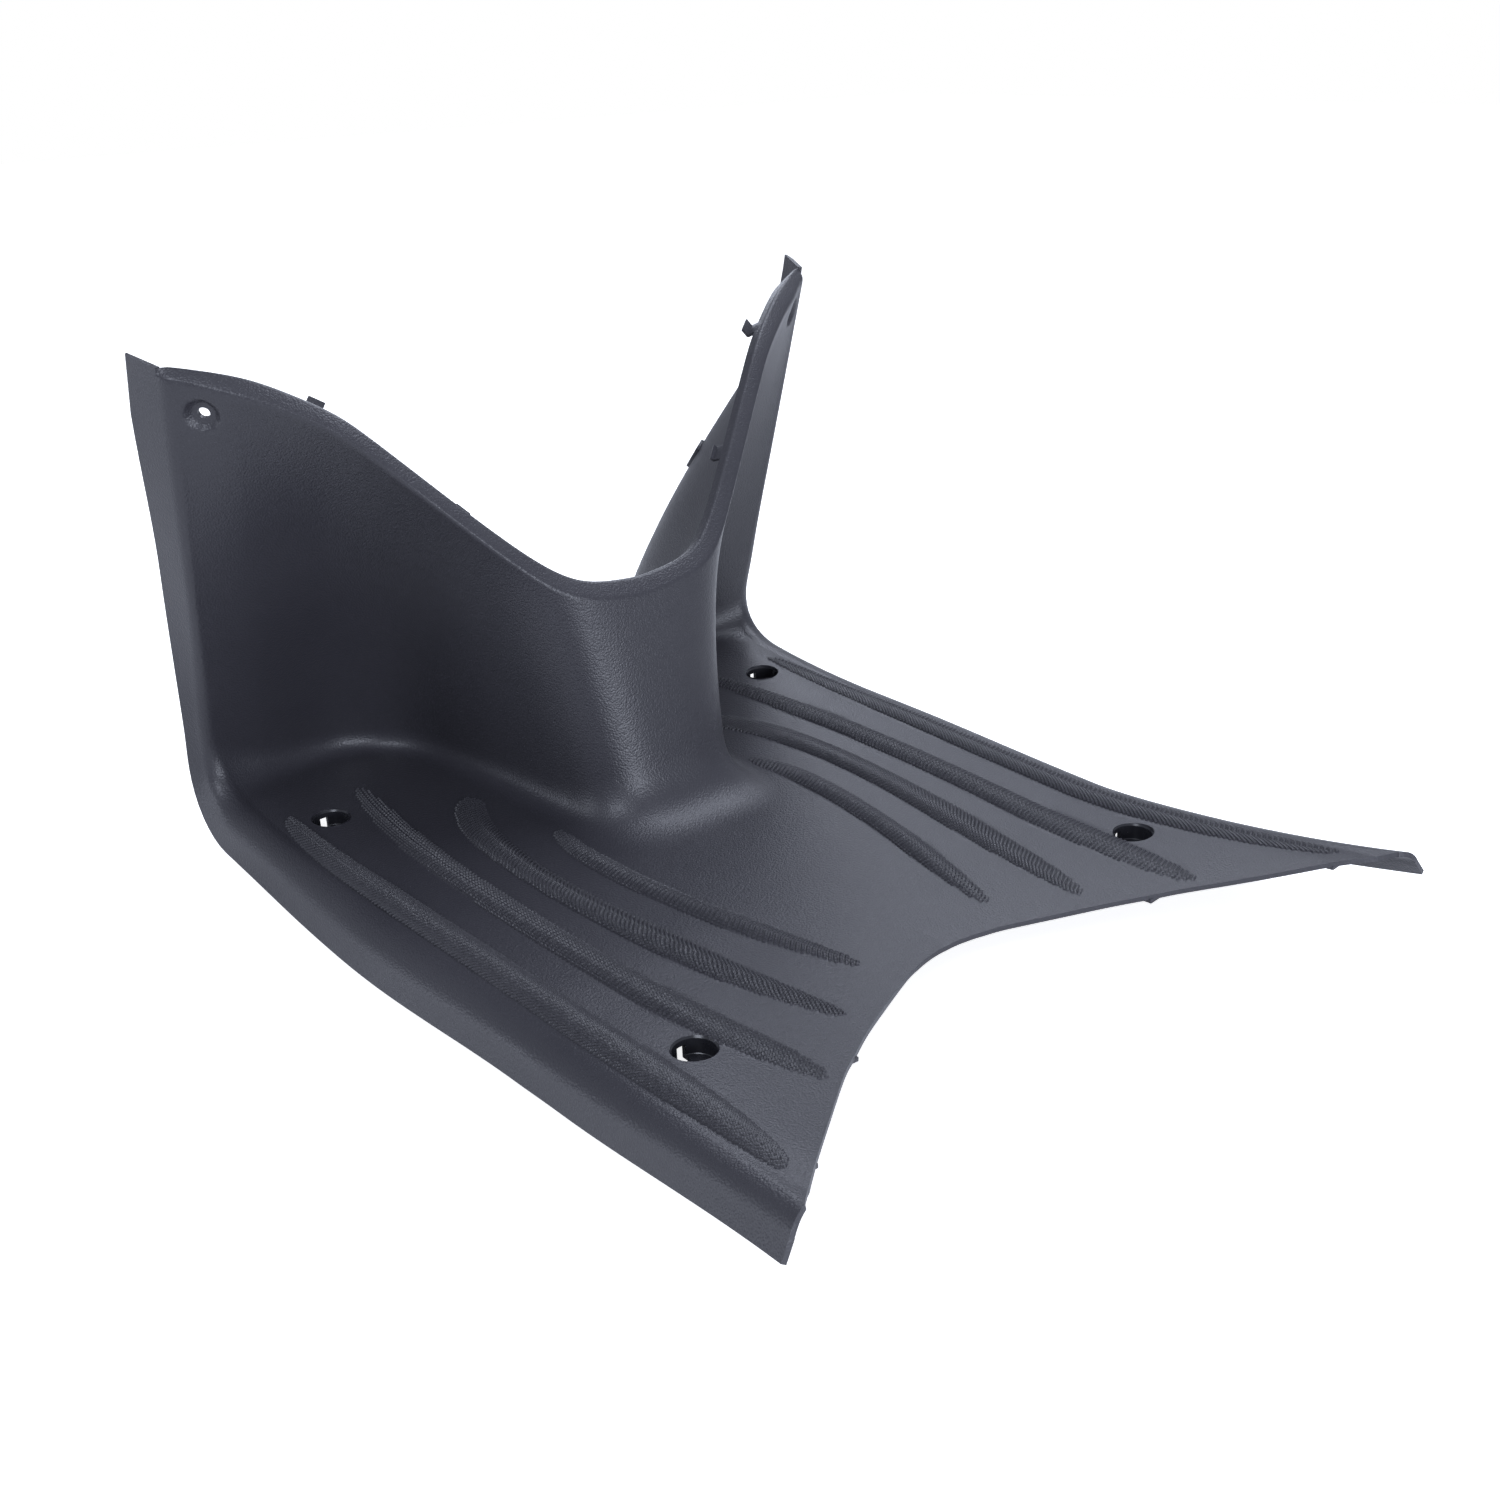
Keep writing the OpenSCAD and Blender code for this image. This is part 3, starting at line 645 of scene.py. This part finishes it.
# Lattice points of one ridge, staggered row by row, where the ridge is wide enough to carry a pyramid
def ridgeLattice(k, i, sign):
    x = k["ridgeX"][i]
    start, end = tread["ends"][i]
    t = np.linspace(start, end, 1600)  # fine enough to measure the ridge's length
    uMid = np.interp(x, k["middles"], range(9))
    middle = floorPoint(k, np.full_like(t, uMid), t)
    run = np.concatenate([[0], np.cumsum(np.linalg.norm(np.diff(middle, axis=0), axis=1))])
    half = knurl["pitch"] / 2
    stations = np.interp(np.arange(half, run[-1], half), run, t)
    beside = np.interp(x + half, k["middles"], range(9))
    strides = np.linalg.norm(plan(k, beside, stations) - plan(k, uMid, stations), axis=-1) / half
    found = []
    for row, (tRow, stride) in enumerate(zip(stations, strides)):
        size = float(ridgeSize(i, tRow))
        widest = int(tread["halfW"] * knurl["cover"] * size * stride / half)
        for step in range(-widest, widest + 1):
            if (step + row) % 2 == 0:
                found.append((x + step * half / stride, tRow))
    xs, ts = np.array(found).T
    u = np.interp(xs, k["middles"], range(9))
    at = lambda du, dt: floorPoint(k, u + du, ts + dt)
    p = at(0, 0)
    along = unit(at(0, 0.002) - at(0, -0.002))
    across = unit(at(0.01, 0) - at(-0.01, 0))
    up = unit(np.cross(across, along))
    up *= np.sign(up[:, 2:3])
    mirror = np.array([sign, 1, 1])
    return p * mirror, along * mirror, up * mirror


def treadKnurl(material):
    parts = [ridgeLattice(shell, i, sign) for i in range(4) for _, sign in bothSides]
    p, along, up = (np.concatenate(v) for v in zip(*parts))
    piece = addPiece("treadKnurl", place(p - up * knurl["sink"]), [])
    for name, values in (("along", along), ("up", up)):
        layer = piece.data.attributes.new(name, "FLOAT_VECTOR", "POINT")
        layer.data.foreach_set("vector", values.astype(np.float32).ravel())
    tree, materialInput = knurlTree()
    modifier = piece.modifiers.new("knurl", "NODES")
    modifier.node_group = tree
    modifier[materialInput] = material
    apply(piece)
    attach(piece, "root")
    print("knurl pyramids:", len(p))


# One socket of a shader tree with ordinary arithmetic on it
class Value:
    def __init__(self, tree, socket):
        self.tree, self.socket = tree, socket

    def maths(self, operation, *others):
        made = self.tree.nodes.new("ShaderNodeMath")
        made.operation = operation
        for slot, item in zip(made.inputs, (self, *others)):
            if isinstance(item, Value):
                self.tree.links.new(item.socket, slot)
            else:
                slot.default_value = item
        return Value(self.tree, made.outputs[0])

    def __add__(self, other):
        return self.maths("ADD", other)

    def __mul__(self, other):
        return self.maths("MULTIPLY", other)

    __radd__ = __add__
    __rmul__ = __mul__


# A material with its Principled shader, and short calls for the nodes that feed it
class Finish:
    def __init__(self, name):
        self.material = bpy.data.materials.new(name)
        self.material.use_nodes = True
        self.tree = self.material.node_tree
        self.shader = self.tree.nodes["Principled BSDF"]
        self.place = self.node("ShaderNodeTexCoord").outputs["Object"]

    # A node of one kind: its settings first, then the values or links of its inputs
    def node(self, kind, settings=None, **inputs):
        made = self.tree.nodes.new(kind)
        for key, value in (settings or {}).items():
            setattr(made, key, value)
        for key, value in inputs.items():
            self.feed(made.inputs[key], value)
        return made

    def feed(self, socket, value):
        if isinstance(value, Value):
            value = value.socket
        if isinstance(value, bpy.types.NodeSocket):
            self.tree.links.new(value, socket)
        else:
            socket.default_value = value

    def noise(self, scale, detail):
        made = self.node("ShaderNodeTexNoise", Vector=self.place, Scale=scale, Detail=detail)
        return Value(self.tree, made.outputs["Fac"])

    # The colour sockets of a Mix node come after those of its other types and share their names
    def blend(self, factor, a, b):
        made = self.node("ShaderNodeMix", {"data_type": "RGBA"})
        self.feed(made.inputs[0], factor)
        self.feed(made.inputs[6], a)
        self.feed(made.inputs[7], b)
        return made.outputs[2]


grained = {"dark": (0.026, 0.0255, 0.0315, 1), "light": (0.034, 0.033, 0.0395, 1), "roughness": 0.34,
           "grainScale": 1000, "grainDepth": 0.0003, "grainStrength": 0.8, "flowScale": 14}
glossy = {"dark": (0.012, 0.012, 0.015, 1), "light": (0.02, 0.02, 0.024, 1), "roughness": 0.2,
          "wearScale": 300}


# Leather grain by bump, and a broad slow change of tone and roughness
def grainedPlastic(name, k):
    f = Finish(name)
    pebbles = f.node("ShaderNodeTexVoronoi", {"feature": "SMOOTH_F1"},
                     Vector=f.place, Scale=k["grainScale"], Smoothness=0.6)
    specks = f.noise(k["grainScale"] * 0.6, 3)
    grain = Value(f.tree, pebbles.outputs["Distance"]) * -0.7 + specks * 0.5
    flow = f.noise(k["flowScale"], 3)
    f.feed(f.shader.inputs["Base Color"], f.blend(flow, k["dark"], k["light"]))
    f.feed(f.shader.inputs["Roughness"], flow * 0.12 + grain * 0.1 + k["roughness"])
    bump = f.node("ShaderNodeBump", Strength=k["grainStrength"], Distance=k["grainDepth"], Height=grain)
    f.feed(f.shader.inputs["Normal"], bump.outputs["Normal"])
    return f.material


# Smooth plastic of the screw cups
def glossyPlastic(name, k):
    f = Finish(name)
    wear = f.noise(k["wearScale"], 2)
    f.feed(f.shader.inputs["Base Color"], f.blend(wear, k["dark"], k["light"]))
    f.feed(f.shader.inputs["Roughness"], wear * 0.1 + k["roughness"])
    return f.material


def coat(pieces, material):
    for piece in pieces:
        piece.data.materials.clear()
        piece.data.materials.append(material)


shellPlastic = grainedPlastic("grained_black_plastic", grained)
coat([skin, *details], shellPlastic)
coat(cups, glossyPlastic("glossy_black_plastic", glossy))
treadKnurl(shellPlastic)
print("materials set")

# Camera recovered from the photograph: place of the eye, the way it looks and the way to its right
camera = {"eye": (-496.7, -634.9, 405.7), "look": (0.574, 0.7095, -0.410),
          "right": (0.768, -0.640, -0.032), "lens": 39.6}


def makeCamera(k):
    data = bpy.data.cameras.new("camera")
    data.sensor_width, data.lens = 36, k["lens"]
    data.clip_start, data.clip_end = 0.01, 20
    made = bpy.data.objects.new("camera", data)
    look = Vector(k["look"]).normalized()
    right = (Vector(k["right"]) - Vector(k["right"]).dot(look) * look).normalized()
    up = right.cross(look)
    turn = Matrix((right, up, -look)).transposed().to_4x4()
    made.matrix_world = Matrix.Translation(Vector(place(k["eye"]))) @ turn
    bpy.context.scene.collection.objects.link(made)
    bpy.context.scene.camera = made


# Lights in metres and watts, all of one size and aimed at one point
daylight = (0.82, 0.87, 1)
studio = {"floorHalf": 6, "floorZ": -0.0005, "floorTone": 0.9, "floorGlow": 0.8, "worldStrength": 0.46,
          "lightSize": 0.8, "target": (0, 0, 0.08)}
lights = [
    ("overhead", (0.73, 0, 1.72), 10.4),
    ("low rear", (0, -1.77, 0.39), 19.8),
    ("high rear left", (-1.08, -0.63, 1.375), 12.3),
    ("high right", (1.08, 0.63, 1.375), 7.7),
    ("front right", (0.8, 1.38, 0.925), 5.8),
    ("low front left", (-1.54, 0.89, 0.39), 4.9),
]


def softLight(name, at, watts):
    data = bpy.data.lights.new(name, "AREA")
    data.shape, data.size, data.energy, data.color = "DISK", studio["lightSize"], watts, daylight
    made = bpy.data.objects.new(name, data)
    made.location = at
    made.rotation_euler = (Vector(studio["target"]) - Vector(at)).to_track_quat("-Z", "Y").to_euler()
    bpy.context.scene.collection.objects.link(made)


# White paper floor that glows to the camera alone
def makeFloor():
    half, z = studio["floorHalf"], studio["floorZ"]
    mesh = bpy.data.meshes.new("studioFloor")
    corners = [(-half, -half, z), (half, -half, z), (half, half, z), (-half, half, z)]
    mesh.from_pydata(corners, [], [(0, 1, 2, 3)])
    floor = bpy.data.objects.new("studioFloor", mesh)
    bpy.context.scene.collection.objects.link(floor)
    f = Finish("paper")
    tone = studio["floorTone"]
    f.shader.inputs["Base Color"].default_value = (tone, tone, tone, 1)
    f.shader.inputs["Roughness"].default_value = 0.9
    f.shader.inputs["Emission Color"].default_value = (1, 1, 1, 1)
    path = f.node("ShaderNodeLightPath")
    glow = Value(f.tree, path.outputs["Is Camera Ray"]) * studio["floorGlow"]
    f.feed(f.shader.inputs["Emission Strength"], glow)
    mesh.materials.append(f.material)


# White to the camera and seen through the part's openings, a plain level of daylight on everything else
def makeWorld():
    world = bpy.data.worlds.new("studio")
    bpy.context.scene.world = world
    world.use_nodes = True
    tree = world.node_tree
    back = tree.nodes["Background"]
    back.inputs["Color"].default_value = (*daylight, 1)
    back.inputs["Strength"].default_value = studio["worldStrength"]
    white = tree.nodes.new("ShaderNodeBackground")
    white.inputs["Color"].default_value = (1, 1, 1, 1)
    path = tree.nodes.new("ShaderNodeLightPath").outputs
    seen = Value(tree, path["Is Camera Ray"]).maths("MAXIMUM", Value(tree, path["Is Transmission Ray"]))
    mixed = tree.nodes.new("ShaderNodeMixShader")
    for slot, socket in zip(mixed.inputs, (seen.socket, back.outputs[0], white.outputs[0])):
        tree.links.new(socket, slot)
    tree.links.new(mixed.outputs[0], tree.nodes["World Output"].inputs["Surface"])


makeCamera(camera)
makeFloor()
makeWorld()
for name, at, watts in lights:
    softLight(name, at, watts)
bpy.context.scene.view_settings.view_transform = "Standard"
print("camera, stage and lights made")
